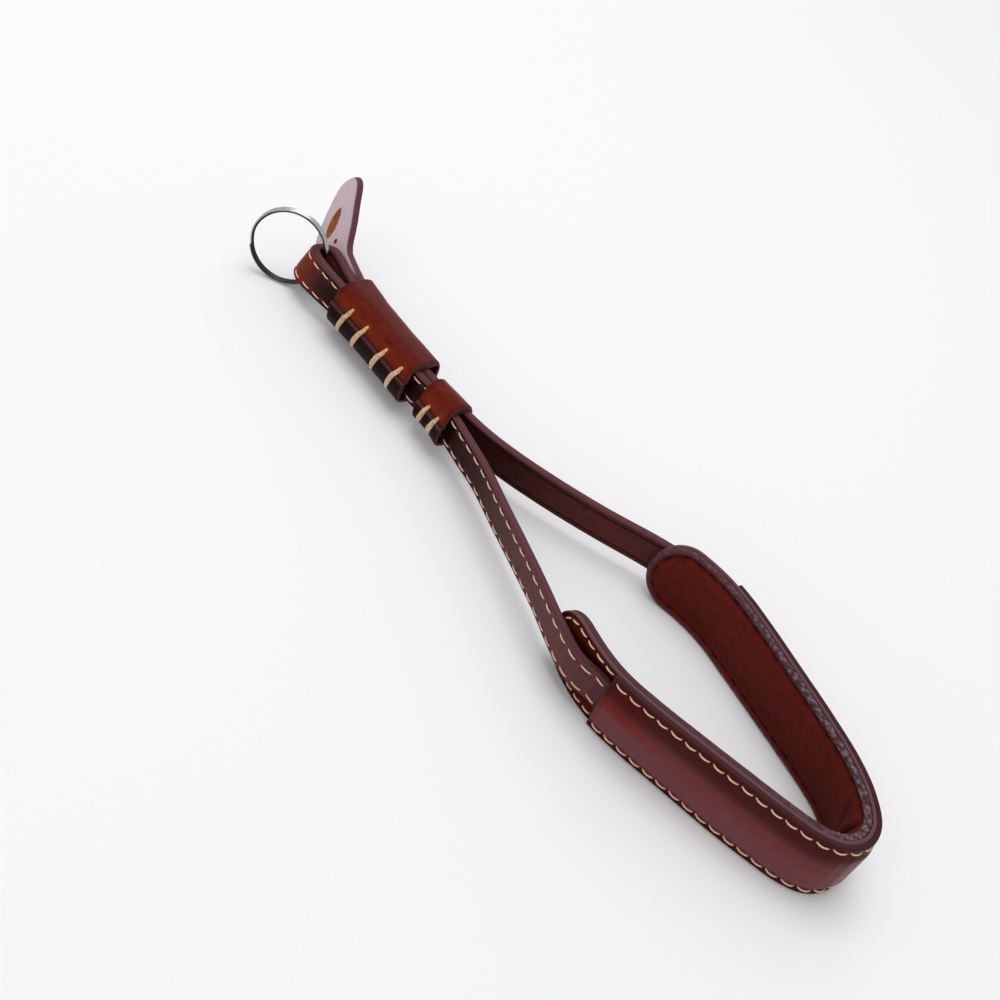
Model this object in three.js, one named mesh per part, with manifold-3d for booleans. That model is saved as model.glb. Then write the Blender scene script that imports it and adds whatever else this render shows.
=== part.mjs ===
// Leather camera wrist strap: a split ring, a guard tab, one looped strap held by two laced
// keepers, and a padded wrist section. Millimetres, +Z up. The loop stands on its lower edges:
// its outline is drawn in the XY plane, and every leather band is upright along Z.
import * as THREE from 'three';
import { mergeVertices } from 'three/addons/utils/BufferGeometryUtils.js';
import Module from 'manifold-3d';

const wasm = await Module();
wasm.setup();

// ---- Driving dimensions ----------------------------------------------------------------------
const padWidth = 22;
const strapWidth = 11;
const midHeight = padWidth / 2;
const edgeBevel = 0.4;
const gap = 0.28;

const strapInPad = 2.5;
const strapLeadIn = 4;
const baseThickness = 1.0;
const coverThickness = 1.35;
const linerEdge = 1.85;
const linerPuff = 2.0;
const linerRounding = 0.5;
const strapSink = 1.9;
const sinkStart = 8;
const sinkFull = 24;
const ridgeTop = strapWidth / 2 + 0.5;
const ridgeFoot = strapWidth / 2 + 3.1;
const padStep = 4.5;
const padTurn = 0.12;
const strapStep = 6;
const strapTurn = 0.17;
const tabStep = 4;
const tabTurn = 0.1;
const coverNearStart = 27;
const coverFarStart = 25;

const keeperWall = 1.8;
const keeperCorner = 2.2;
const keeperLip = 1.1;
const tabThickness = 3.0;

const ringOuterRadius = 13.1;
const ringWireRadius = 0.62;
const ringCoilPitch = 1.42;
const ringStepLength = THREE.MathUtils.degToRad(40);
const ringCutGap = THREE.MathUtils.degToRad(3);
const ringStartAngle = THREE.MathUtils.degToRad(200);
const ringHeading = THREE.MathUtils.degToRad(35.3);
const ringTilt = THREE.MathUtils.degToRad(7.5);

// ---- Outline of the loop ---------------------------------------------------------------------
// x, y: centre of the wall in plan. lean: how far its upper edge tips outwards, per mm of height.
// The pad rows follow the outer face of the pad's base, from its near end round the bend.
const padRows = [
  { x: 41.6, y: -16.2, lean: 0.12 },
  { x: 50.0, y: -19.7, lean: 0.1 },
  { x: 60.0, y: -22.5, lean: 0.08 },
  { x: 69.0, y: -23.2, lean: 0.08 },
  { x: 80.0, y: -21.8, lean: 0.06 },
  { x: 93.0, y: -19.1, lean: 0.04 },
  { x: 108.0, y: -15.9, lean: 0.0 },
  { x: 120.0, y: -12.9, lean: 0.0 },
  { x: 130.0, y: -9.6, lean: 0.0 },
  { x: 135.5, y: -5.4, lean: 0.0 },
  { x: 138.0, y: 1.2, lean: 0.0 },
  { x: 136.6, y: 8.0, lean: -0.02 },
  { x: 131.0, y: 14.6, lean: -0.05 },
  { x: 122.0, y: 20.2, lean: -0.05 },
  { x: 107.0, y: 25.2, lean: 0.0 },
  { x: 92.0, y: 29.2, lean: 0.04 },
  { x: 78.0, y: 32.8, lean: 0.08 },
  { x: 67.0, y: 35.3, lean: 0.09 },
  { x: 58.0, y: 36.0, lean: 0.11 },
  { x: 48.0, y: 34.8, lean: 0.12 },
  { x: 38.2, y: 31.5, lean: 0.12 },
];

// The strap outside the pad: first from the pad's far end to the ring and round it, then back
// through the keepers to the pad's near end. thick: the strap's thickness there.
const strapRows = [
  { x: 54.0, y: 37.6, lean: 0.06, thick: 2.9 },
  { x: 46.0, y: 36.5, lean: 0.08, thick: 2.9 },
  { x: 37.0, y: 33.3, lean: 0.05, thick: 2.9 },
  { x: 20.0, y: 25.0, lean: 0.0, thick: 2.9 },
  { x: 5.0, y: 18.7, lean: 0.0, thick: 2.9 },
  { x: -10.0, y: 13.6, lean: 0.0, thick: 2.9 },
  { x: -22.0, y: 11.0, lean: 0.0, thick: 2.9 },
  { x: -37.0, y: 10.3, lean: 0.0, thick: 3.0 },
  { x: -50.0, y: 10.5, lean: 0.0, thick: 3.0 },
  { x: -64.0, y: 11.4, lean: 0.0, thick: 3.0 },
  { x: -78.0, y: 12.6, lean: 0.0, thick: 3.0 },
  { x: -91.0, y: 14.4, lean: 0.04, thick: 3.0 },
  { x: -98.0, y: 15.9, lean: 0.1, thick: 3.0 },
  { x: -103.5, y: 17.4, lean: 0.18, thick: 3.0 },
  { x: -108.0, y: 17.9, lean: 0.22, thick: 3.0 },
  { x: -111.6, y: 15.8, lean: -0.2, thick: 3.0 },
  { x: -111.6, y: 12.2, lean: -0.3, thick: 3.1 },
  { x: -107.8, y: 9.8, lean: -0.3, thick: 3.2 },
  { x: -101.0, y: 9.2, lean: -0.18, thick: 3.2 },
  { x: -91.0, y: 9.3, lean: -0.05, thick: 3.2 },
  { x: -78.0, y: 8.8, lean: 0.0, thick: 3.0 },
  { x: -64.0, y: 8.0, lean: 0.0, thick: 3.0 },
  { x: -50.0, y: 7.1, lean: 0.0, thick: 3.0 },
  { x: -37.0, y: 6.9, lean: 0.0, thick: 3.0 },
  { x: -29.0, y: 5.5, lean: 0.04, thick: 2.9 },
  { x: -20.0, y: 3.3, lean: 0.06, thick: 2.9 },
  { x: -10.0, y: 0.8, lean: 0.1, thick: 2.9 },
  { x: 5.0, y: -4.7, lean: 0.12, thick: 2.9 },
  { x: 20.0, y: -10.1, lean: 0.14, thick: 2.9 },
  { x: 33.0, y: -15.0, lean: 0.16, thick: 2.9 },
  { x: 46.0, y: -20.5, lean: 0.12, thick: 2.9 },
  { x: 56.0, y: -23.6, lean: 0.1, thick: 2.9 },
];

// The guard tab: its tail lies in the large keeper, its free end turns away and stands up.
const tabRows = [
  { x: -55.0, y: 14.2, lean: 0.0, low: 5.8, high: 16.2 },
  { x: -64.0, y: 15.0, lean: 0.0, low: 5.8, high: 16.2 },
  { x: -78.0, y: 16.1, lean: 0.0, low: 5.8, high: 16.2 },
  { x: -91.0, y: 18.1, lean: 0.05, low: 5.8, high: 16.2 },
  { x: -98.5, y: 19.8, lean: 0.16, low: 5.5, high: 16.5 },
  { x: -106.0, y: 21.8, lean: 0.26, low: 5.5, high: 17.0 },
  { x: -111.0, y: 23.3, lean: 0.28, low: 5.2, high: 23.3 },
  { x: -116.8, y: 25.3, lean: 0.28, low: 4.6, high: 29.2 },
  { x: -119.9, y: 26.4, lean: 0.28, low: 5.4, high: 32.6 },
  { x: -122.3, y: 27.3, lean: 0.28, low: 9.2, high: 33.6 },
  { x: -125.2, y: 28.4, lean: 0.28, low: 15.6, high: 32.8 },
  { x: -127.2, y: 29.1, lean: 0.28, low: 21.6, high: 30.6 },
];
const tabSlot = { x: -118.3, z: 17.6, length: 11.5, width: 3.2, tilt: 15 };
const tabHole = { x: -112.5, z: 14.8, length: 1.9, width: 1.5 };

// ---- Helpers ---------------------------------------------------------------------------------
function smooth(from, to, value) {
  const t = THREE.MathUtils.clamp((value - from) / (to - from), 0, 1);
  return t * t * (3 - 2 * t);
}

// A closed solid through rings of points, each ring with the same number of points.
function solidThroughRings(rings, closed) {
  const count = rings[0].length;
  const positions = rings.flat().flatMap((p) => [p.x, p.y, p.z]);
  const index = [];
  const last = closed ? rings.length : rings.length - 1;
  for (let i = 0; i < last; i += 1) {
    const a = i * count;
    const b = ((i + 1) % rings.length) * count;
    for (let j = 0; j < count; j += 1) {
      const k = (j + 1) % count;
      index.push(a + j, b + j, b + k, a + j, b + k, a + k);
    }
  }
  if (!closed) {
    for (const ring of [0, rings.length - 1]) {
      for (const face of THREE.ShapeUtils.triangulateShape(flattenRing(rings[ring]), [])) {
        const [p, q, r] = face.map((v) => ring * count + v);
        index.push(...(ring === 0 ? [p, q, r] : [p, r, q]));
      }
    }
  }
  const geometry = new THREE.BufferGeometry();
  geometry.setAttribute('position', new THREE.Float32BufferAttribute(positions, 3));
  geometry.setIndex(index);
  return facingOut(geometry);
}

// A ring's points in its own plane, for closing an open end.
function flattenRing(ring) {
  const origin = ring[0];
  const normal = new THREE.Vector3();
  for (let i = 0; i < ring.length; i += 1) {
    const a = ring[i].clone().sub(origin);
    normal.add(a.cross(ring[(i + 1) % ring.length].clone().sub(origin)));
  }
  normal.normalize();
  const across = ring[1].clone().sub(origin).normalize();
  const up = normal.clone().cross(across);
  return ring.map((p) => {
    const d = p.clone().sub(origin);
    return new THREE.Vector2(d.dot(across), d.dot(up));
  });
}

function signedVolume(geometry) {
  const p = geometry.getAttribute('position');
  const [a, b, c] = [new THREE.Vector3(), new THREE.Vector3(), new THREE.Vector3()];
  let sum = 0;
  for (let i = 0; i < geometry.index.count; i += 3) {
    a.fromBufferAttribute(p, geometry.index.getX(i));
    b.fromBufferAttribute(p, geometry.index.getX(i + 1));
    c.fromBufferAttribute(p, geometry.index.getX(i + 2));
    sum += a.dot(b.cross(c)) / 6;
  }
  return sum;
}

function facingOut(geometry) {
  if (signedVolume(geometry) < 0) {
    const index = Array.from(geometry.index.array);
    for (let i = 0; i < index.length; i += 3) {
      [index[i + 1], index[i + 2]] = [index[i + 2], index[i + 1]];
    }
    geometry.setIndex(index);
  }
  geometry.computeVertexNormals();
  return geometry;
}

// Rows become a smooth route, walked in steps short enough for its bends.
class Route {
  constructor(rows, closed = false) {
    this.rows = rows;
    this.closed = closed;
    const points = rows.map((row) => new THREE.Vector3(row.x, row.y, 0));
    this.curve = new THREE.CatmullRomCurve3(points, closed, 'centripetal');
    this.curve.arcLengthDivisions = 60 * rows.length;
    this.length = this.curve.getLength();
  }

  // Place on the route at a distance from its start. Outwards is to the right of the way along.
  at(distance) {
    const share = THREE.MathUtils.clamp(distance / this.length, 0, 1);
    const point = this.curve.getPointAt(share);
    const tangent = this.curve.getTangentAt(share);
    const raw = this.curve.getUtoTmapping(share);
    return { distance, point, out: new THREE.Vector3(tangent.y, -tangent.x, 0), raw };
  }

  // A column of the rows, blended along the route.
  column(name, raw) {
    const count = this.rows.length;
    const place = raw * (this.closed ? count : count - 1);
    const i = Math.min(Math.floor(place), this.closed ? count - 1 : count - 2);
    const from = this.rows[i][name];
    const to = this.rows[(i + 1) % count][name];
    return THREE.MathUtils.lerp(from, to, place - i);
  }

  distances(start, end, longest, turnLimit) {
    const list = [start];
    const fine = 0.25;
    let here = this.at(start);
    for (let d = start + fine; d < end - fine; d += fine) {
      const next = this.at(d);
      if (d - here.distance > longest || next.out.angleTo(here.out) > turnLimit) {
        list.push(d);
        here = next;
      }
    }
    if (this.closed) return list;
    if (end - list[list.length - 1] < 1 && list.length > 2) list.pop();
    list.push(end);
    return list;
  }
}

// A leather band along a route. section(place) lists its corners as [outwards, height].
function band(route, distances, section) {
  const rings = distances.map((distance) => {
    const place = route.at(distance);
    const lean = route.column('lean', place.raw);
    return section(place).map(([outwards, z]) => {
      const shift = outwards + lean * (z - midHeight);
      return place.point.clone().addScaledVector(place.out, shift).setZ(z);
    });
  });
  return solidThroughRings(rings, route.closed);
}

function bevelledSlab(inner, outer, low, high) {
  const b = edgeBevel;
  return [
    [inner + b, low], [outer - b, low], [outer, low + b], [outer, high - b],
    [outer - b, high], [inner + b, high], [inner, high - b], [inner, low + b],
  ];
}

function leather(name, geometry, colour, roughness = 0.5) {
  const material = new THREE.MeshStandardMaterial({ color: colour, roughness, metalness: 0 });
  const mesh = new THREE.Mesh(geometry, material);
  mesh.name = name;
  return mesh;
}

function toManifold(geometry) {
  const bare = geometry.clone();
  bare.deleteAttribute('normal');
  bare.deleteAttribute('uv');
  const merged = mergeVertices(bare, 1e-4);
  const mesh = new wasm.Mesh({
    numProp: 3,
    vertProperties: new Float32Array(merged.getAttribute('position').array),
    triVerts: new Uint32Array(merged.index.array),
  });
  return new wasm.Manifold(mesh);
}

function fromManifold(solid) {
  const mesh = solid.getMesh();
  const geometry = new THREE.BufferGeometry();
  geometry.setAttribute('position', new THREE.Float32BufferAttribute(mesh.vertProperties, 3));
  geometry.setIndex(Array.from(mesh.triVerts));
  geometry.computeVertexNormals();
  return geometry;
}

// ---- Padded wrist section --------------------------------------------------------------------
const padRoute = new Route(padRows);

// Half the pad's height at a distance along it: both ends are half rounds.
function padHalfHeight(distance) {
  const fromEnd = Math.min(distance, padRoute.length - distance);
  const short = Math.max(midHeight - fromEnd, 0);
  return Math.sqrt(midHeight ** 2 - short ** 2);
}

function padDistances() {
  const firstHalf = 1.6;
  const start = midHeight - Math.sqrt(midHeight ** 2 - firstHalf ** 2);
  const ends = [];
  const steps = 8;
  const firstAngle = Math.asin(firstHalf / midHeight);
  for (let i = 0; i < steps; i += 1) {
    const angle = THREE.MathUtils.lerp(firstAngle, Math.PI / 2, i / steps);
    ends.push(midHeight * (1 - Math.cos(angle)));
  }
  ends[0] = start;
  const middle = padRoute.distances(midHeight, padRoute.length - midHeight, padStep, padTurn);
  return [...ends, ...middle, ...ends.map((d) => padRoute.length - d).reverse()];
}

// The strap presses into the padding, from nothing at the pad's ends to its full depth.
function sinkAt(distance) {
  const fromEnd = Math.min(distance, padRoute.length - distance);
  return strapSink * smooth(sinkStart, sinkFull, fromEnd);
}

function overStrap(z) {
  return 1 - smooth(ridgeTop, ridgeFoot, Math.abs(z - midHeight));
}

const padShares = [-1, -0.79, -0.67, -0.55, 0, 0.55, 0.67, 0.79, 1];
const linerShares = [-1, -0.92, -0.76, -0.4, 0, 0.4, 0.76, 0.92, 1];

function sheetSection(place, outerFace, innerFace, innerShares = padShares) {
  const half = padHalfHeight(place.distance);
  const heights = (shares) => shares.map((share) => midHeight + share * half);
  const outer = heights(padShares).map((z) => [outerFace(z), z]);
  const inner = heights(innerShares).reverse().map((z) => [innerFace(z, half), z]);
  return [...outer, ...inner];
}

function makeBase() {
  return band(padRoute, padDistances(), (place) => {
    const sink = sinkAt(place.distance);
    const face = (z) => -sink * overStrap(z);
    return sheetSection(place, face, (z) => face(z) - baseThickness);
  });
}

function makeLiner() {
  return band(padRoute, padDistances(), (place) => {
    const sink = sinkAt(place.distance);
    const back = (z) => -sink * overStrap(z) - baseThickness - gap;
    const front = (z, half) => {
      const share = Math.abs(z - midHeight) / half;
      const puff = linerPuff * (1 - smooth(0.1, 0.85, share)) * Math.min(1, half / midHeight);
      const rounding = linerRounding * smooth(0.92, 1, share);
      return -baseThickness - gap - linerEdge - puff + rounding;
    };
    return sheetSection(place, back, front, linerShares);
  });
}

function makeCover() {
  const start = coverNearStart;
  const end = padRoute.length - coverFarStart;
  const crown = strapInPad + gap - strapSink;
  return band(padRoute, padRoute.distances(start, end, padStep, padTurn), (place) => {
    const under = (z) => gap + crown * overStrap(z);
    return sheetSection(place, (z) => under(z) + coverThickness, under);
  });
}

// ---- Strap -----------------------------------------------------------------------------------
// In the pad the strap follows the base's route, pressed into it, under the cover.
function strapRoute() {
  const start = coverNearStart - strapLeadIn;
  const end = padRoute.length - coverFarStart + strapLeadIn;
  const steps = 60;
  const inPad = [];
  for (let i = 0; i <= steps; i += 1) {
    const place = padRoute.at(THREE.MathUtils.lerp(start, end, i / steps));
    const centre = gap - sinkAt(place.distance) + strapInPad / 2;
    const point = place.point.clone().addScaledVector(place.out, centre);
    const lean = padRoute.column('lean', place.raw);
    inPad.push({ x: point.x, y: point.y, lean, thick: strapInPad });
  }
  return new Route([...inPad, ...strapRows], true);
}

function makeStrap() {
  const route = strapRoute();
  const low = midHeight - strapWidth / 2;
  const high = midHeight + strapWidth / 2;
  return band(route, route.distances(0, route.length, strapStep, strapTurn), (place) => {
    const half = route.column('thick', place.raw) / 2;
    return bevelledSlab(-half, half, low, high);
  });
}

// ---- Keepers ---------------------------------------------------------------------------------
// A keeper is a strip wrapped round the layers. Its two ends meet on the near face, where the
// lower end stands out a little. Rows give the inner near and far faces at each station along X.
const largeKeeperRows = [
  { x: -90.0, near: 7.2, far: 20.3 },
  { x: -78.0, near: 6.9, far: 18.0 },
  { x: -64.0, near: 5.9, far: 16.7 },
  { x: -49.5, near: 4.5, far: 15.8 },
];
const smallKeeperRows = [
  { x: -43.0, near: 5.1, far: 12.1 },
  { x: -36.0, near: 4.9, far: 12.1 },
  { x: -29.5, near: 3.3, far: 12.2 },
];
const largeKeeperSeam = 12.4;
const smallKeeperSeam = 11.8;

function keeperSection(near, far, seam) {
  const low = midHeight - strapWidth / 2 - gap;
  const high = midHeight + strapWidth / 2 + gap;
  const half = keeperWall / 2;
  const r = keeperCorner;
  const [left, right, bottom, top] = [near - half, far + half, low - half, high + half];
  const outside = left - keeperLip;
  const path = new THREE.Path();
  path.moveTo(left, seam + gap);
  path.lineTo(left, top - r);
  path.absarc(left + r, top - r, r, Math.PI, Math.PI / 2, true);
  path.lineTo(right - r, top);
  path.absarc(right - r, top - r, r, Math.PI / 2, 0, true);
  path.lineTo(right, bottom + r);
  path.absarc(right - r, bottom + r, r, 0, -Math.PI / 2, true);
  path.lineTo(outside + r, bottom);
  path.absarc(outside + r, bottom + r, r, -Math.PI / 2, -Math.PI, true);
  path.lineTo(outside, seam);
  const centre = path.getPoints(5).filter((p, i, all) => i === 0 || p.distanceTo(all[i - 1]) > 1e-6);
  return thickened(centre, half);
}

// A strip's outline from its centre line: out along one side, back along the other.
function thickened(centre, half) {
  const sides = [[], []];
  centre.forEach((p, i) => {
    const before = centre[Math.max(i - 1, 0)];
    const after = centre[Math.min(i + 1, centre.length - 1)];
    const along = after.clone().sub(before).normalize();
    sides[0].push([p.x - along.y * half, p.y + along.x * half]);
    sides[1].push([p.x + along.y * half, p.y - along.x * half]);
  });
  return [...sides[0], ...sides[1].reverse()];
}

function makeKeeper(rows, seam) {
  const rings = rows.map((row) => keeperSection(row.near, row.far, seam)
    .map(([y, z]) => new THREE.Vector3(row.x, y, z)));
  return solidThroughRings(rings, false);
}

// ---- Guard tab -------------------------------------------------------------------------------
function makeTab() {
  const route = new Route(tabRows);
  const half = tabThickness / 2;
  const sheet = band(route, route.distances(0, route.length, tabStep, tabTurn), (place) => {
    const low = route.column('low', place.raw);
    const high = route.column('high', place.raw);
    return bevelledSlab(-half, half, low, high);
  });
  const slot = cutter(route, tabSlot.x, tabSlot.z, tabSlot.length, tabSlot.width, tabSlot.tilt);
  const hole = cutter(route, tabHole.x, tabHole.z, tabHole.length, tabHole.width, 0);
  return fromManifold(toManifold(sheet).subtract(toManifold(slot)).subtract(toManifold(hole)));
}

// A round-ended prism through the tab, square to its face at a given x.
function cutter(route, x, z, length, width, tilt) {
  const r = width / 2;
  const reach = length / 2 - r;
  const shape = new THREE.Shape();
  shape.absarc(0, reach, r, 0, Math.PI, false);
  shape.absarc(0, -reach, r, Math.PI, 2 * Math.PI, false);
  const depth = 4 * tabThickness;
  const options = { depth, bevelEnabled: false, curveSegments: 8 };
  const geometry = new THREE.ExtrudeGeometry(shape, options);
  geometry.translate(0, 0, -depth / 2);
  geometry.rotateZ(THREE.MathUtils.degToRad(tilt));
  let distance = 0;
  while (route.at(distance).point.x > x) distance += 0.1;
  const place = route.at(distance);
  const lean = route.column('lean', place.raw);
  const rise = new THREE.Vector3(place.out.x * lean, place.out.y * lean, 1).normalize();
  const along = new THREE.Vector3(place.out.y, -place.out.x, 0);
  const through = along.clone().cross(rise);
  const turn = new THREE.Matrix4().makeBasis(along, rise, through);
  const centre = place.point.clone().addScaledVector(place.out, lean * (z - midHeight)).setZ(z);
  geometry.applyMatrix4(turn);
  geometry.translate(centre.x, centre.y, centre.z);
  return geometry;
}

// ---- Split ring ------------------------------------------------------------------------------
// Two coils of round wire, with the step from one to the other just before the cut ends.
const ringEye = new THREE.Vector3(-107.7, 13.8, midHeight);
const ringReach = 11;

function makeRing() {
  const out = new THREE.Vector3(Math.cos(ringHeading), Math.sin(ringHeading), 0);
  const side = new THREE.Vector3(-out.y, out.x, 0);
  const up = side.clone().multiplyScalar(Math.sin(ringTilt)).setZ(Math.cos(ringTilt));
  const axis = up.clone().cross(out);
  const centre = ringEye.clone().addScaledVector(out, -ringReach);
  centre.z = ringOuterRadius * up.z + ringCoilPitch * Math.abs(axis.z) / 2;
  const radius = ringOuterRadius - ringWireRadius;
  const steps = 72;
  const sides = 8;
  const oneTurn = 2 * Math.PI;
  const total = 2 * oneTurn - ringStepLength - 2 * ringCutGap;
  const stepStart = oneTurn - ringStepLength - ringCutGap;
  const stepEnd = oneTurn - ringCutGap;
  const rings = [];
  for (let i = 0; i <= steps; i += 1) {
    const turn = total * i / steps;
    const rise = smooth(stepStart, stepEnd, turn) - 0.5;
    const angle = ringStartAngle + turn;
    const radial = out.clone().multiplyScalar(Math.cos(angle)).addScaledVector(up, Math.sin(angle));
    const ring = [];
    for (let j = 0; j < sides; j += 1) {
      const around = 2 * Math.PI * (j + 0.5) / sides;
      ring.push(centre.clone()
        .addScaledVector(radial, radius + ringWireRadius * Math.cos(around))
        .addScaledVector(axis, rise * ringCoilPitch + ringWireRadius * Math.sin(around)));
    }
    rings.push(ring);
  }
  const material = new THREE.MeshStandardMaterial({ color: 0xb9bcc0, roughness: 0.2, metalness: 1 });
  const mesh = new THREE.Mesh(solidThroughRings(rings, false), material);
  mesh.name = 'split_ring';
  return mesh;
}

// ---- Assembly --------------------------------------------------------------------------------
const strapAssembly = new THREE.Group();
strapAssembly.add(
  makeRing(),
  leather('guard_tab', makeTab(), 0x6b4a4e, 0.45),
  leather('strap', makeStrap(), 0x5a2420),
  leather('keeper_large', makeKeeper(largeKeeperRows, largeKeeperSeam), 0x5c1f14, 0.4),
  leather('keeper_small', makeKeeper(smallKeeperRows, smallKeeperSeam), 0x5c1f14, 0.4),
  leather('pad_liner', makeLiner(), 0x4b1c18, 0.65),
  leather('pad_base', makeBase(), 0x4a201c),
  leather('pad_cover', makeCover(), 0x5e2a26, 0.4),
);

// The origin is the middle of the footprint, on the surface that the lower edges stand on.
const size = new THREE.Box3().setFromObject(strapAssembly);
const middle = size.getCenter(new THREE.Vector3());
strapAssembly.position.set(-middle.x, -middle.y, -size.min.z);

const wristStrap = new THREE.Group();
wristStrap.add(strapAssembly);
wristStrap.updateMatrixWorld(true);

export default wristStrap;
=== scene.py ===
import math

import bpy
import numpy as np
from mathutils import Matrix, Vector, noise


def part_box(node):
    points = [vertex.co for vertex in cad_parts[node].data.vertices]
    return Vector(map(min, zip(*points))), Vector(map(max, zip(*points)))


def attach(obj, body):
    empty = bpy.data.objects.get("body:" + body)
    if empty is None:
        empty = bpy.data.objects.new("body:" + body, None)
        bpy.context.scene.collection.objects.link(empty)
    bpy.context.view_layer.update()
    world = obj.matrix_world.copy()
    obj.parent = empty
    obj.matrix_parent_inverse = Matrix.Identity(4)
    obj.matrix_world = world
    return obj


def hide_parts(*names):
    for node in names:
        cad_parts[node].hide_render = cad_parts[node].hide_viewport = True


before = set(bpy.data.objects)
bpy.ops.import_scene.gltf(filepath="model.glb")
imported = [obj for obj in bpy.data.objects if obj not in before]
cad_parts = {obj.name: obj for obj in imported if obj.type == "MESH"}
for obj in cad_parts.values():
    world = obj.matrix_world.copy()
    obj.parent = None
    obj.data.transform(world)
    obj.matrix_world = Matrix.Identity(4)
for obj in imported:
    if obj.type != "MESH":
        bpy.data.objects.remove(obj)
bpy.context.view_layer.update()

print("frame loaded,", len(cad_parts), "nodes")

# Lengths are millimetres until a mesh is made. The loop is drawn in plan and stands up along Z.
mm = 0.001
midHeight = 11.0
layerGap = 0.28
randomDraws = np.random.default_rng(11)


def columns(names, rows):
    return {name: np.array([row[i] for row in rows], float) for i, name in enumerate(names)}


def smooth(low, high, value):
    t = np.clip((value - low) / (high - low), 0, 1)
    return t * t * (3 - 2 * t)


def bell(value, width):
    return np.exp(-(value / width) ** 2)


def wander(a, b, wavelength, seed):
    flat = zip(np.ravel(a) / wavelength, np.ravel(b) / wavelength)
    return np.array([noise.noise(Vector((p, q, seed * 5.1))) for p, q in flat]).reshape(np.shape(a))


def unit(vectors):
    return vectors / np.maximum(np.linalg.norm(vectors, axis=-1, keepdims=True), 1e-9)


def distances(points):  # how far along its line each point lies
    return np.concatenate([[0], np.cumsum(np.linalg.norm(np.diff(points, axis=0), axis=1))])


def circle(sides):
    return np.linspace(0, 2 * math.pi, sides, endpoint=False)


# A smooth route through rows of x and y, with the other columns blended along it.
class Route:
    def __init__(self, rows, closed=False):
        self.rows, self.closed = rows, closed
        points = np.stack([rows["x"], rows["y"]], 1)
        if closed:
            points = [points[-1], *points, points[0], points[1]]
        else:
            points = [2 * points[0] - points[1], *points, 2 * points[-1] - points[-2]]
        spans = len(points) - 3
        t = np.linspace(0, 1, 100, endpoint=False)
        xy = [self.stretch(points[i:i + 4], t) for i in range(spans)]
        self.xy = np.concatenate([*xy, [points[spans + 1]]])
        self.raw = np.concatenate([*(i + t for i in range(spans)), [spans]])
        self.s = distances(self.xy)
        self.length = self.s[-1]
        tangent = np.gradient(self.xy, self.s, axis=0)
        if closed:
            tangent[0] = tangent[-1] = tangent[0] + tangent[-1]
        tangent = unit(tangent)
        self.out = np.stack([tangent[:, 1], -tangent[:, 0]], 1)

    def stretch(self, around, t):  # centripetal Catmull-Rom between the two middle points
        p0, p1, p2, p3 = around
        pairs = (p0, p1), (p1, p2), (p2, p3)
        d0, d1, d2 = (max(np.linalg.norm(b - a) ** 0.5, 1e-4) for a, b in pairs)
        m1 = ((p1 - p0) / d0 - (p2 - p0) / (d0 + d1) + (p2 - p1) / d1) * d1
        m2 = ((p2 - p1) / d1 - (p3 - p1) / (d1 + d2) + (p3 - p2) / d2) * d1
        t = t[:, None]
        square, cube = 3 * (p2 - p1) - 2 * m1 - m2, 2 * (p1 - p2) + m1 + m2
        return p1 + m1 * t + square * t ** 2 + cube * t ** 3

    def along(self, s):
        return np.mod(s, self.length) if self.closed else np.clip(s, 0, self.length)

    def column(self, name, s):
        values = self.rows[name]
        if self.closed:
            values = np.append(values, values[0])
        return np.interp(np.interp(self.along(s), self.s, self.raw), np.arange(len(values)), values)

    def plan(self, s):  # x, y and the outward direction there
        return [np.interp(self.along(s), self.s, v) for v in (*self.xy.T, *self.out.T)]

    def point(self, s, outwards, z):  # a place beside the route, leaning as its rows say
        x, y, ox, oy = self.plan(s)
        shift = outwards + self.column("lean", s) * (z - midHeight)
        return np.stack(np.broadcast_arrays(x + ox * shift, y + oy * shift, z), -1)


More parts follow.
